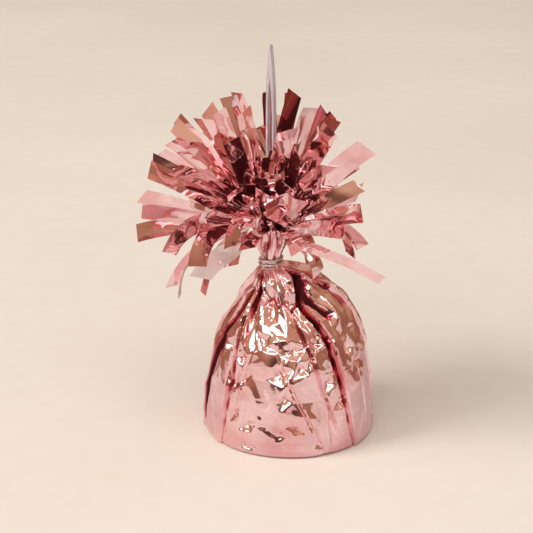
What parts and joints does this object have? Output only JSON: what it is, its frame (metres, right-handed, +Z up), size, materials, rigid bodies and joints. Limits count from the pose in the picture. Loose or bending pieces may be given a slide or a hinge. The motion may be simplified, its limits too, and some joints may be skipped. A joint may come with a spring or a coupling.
{
  "type": "balloon weight",
  "caption": "Bag-shaped balloon weight: a cement-filled cup wrapped in pleated metallised film, tied at the neck, with a burst of fringe and a clear tab for the balloon ribbon.",
  "frame": {"origin": "middle of the flat base, on the table", "axes": "+Z up, -Y towards the front, +X to the right as seen from the front"},
  "size_m": [0.0905, 0.0896, 0.1397],
  "materials": {
    "film": "rose gold metallised film, mirror bright",
    "wire": "bright drawn wire",
    "clear_plastic": "clear, glossy",
    "cup_plastic": "moulded, satin",
    "cement": "cast, rough"
  },
  "bodies": {
    "root": {"film_wrapper": "film", "gathered_head": "film", "fringe_top": "film", "fringe_right": "film", "fringe_left": "film", "fringe_lower_left": "film", "fringe_front": "film", "fringe_back": "film", "wire_tie": "wire", "ribbon_tab": "clear_plastic", "weight_cup": "cup_plastic", "cement_fill": "cement"}
  },
  "joints": []
}
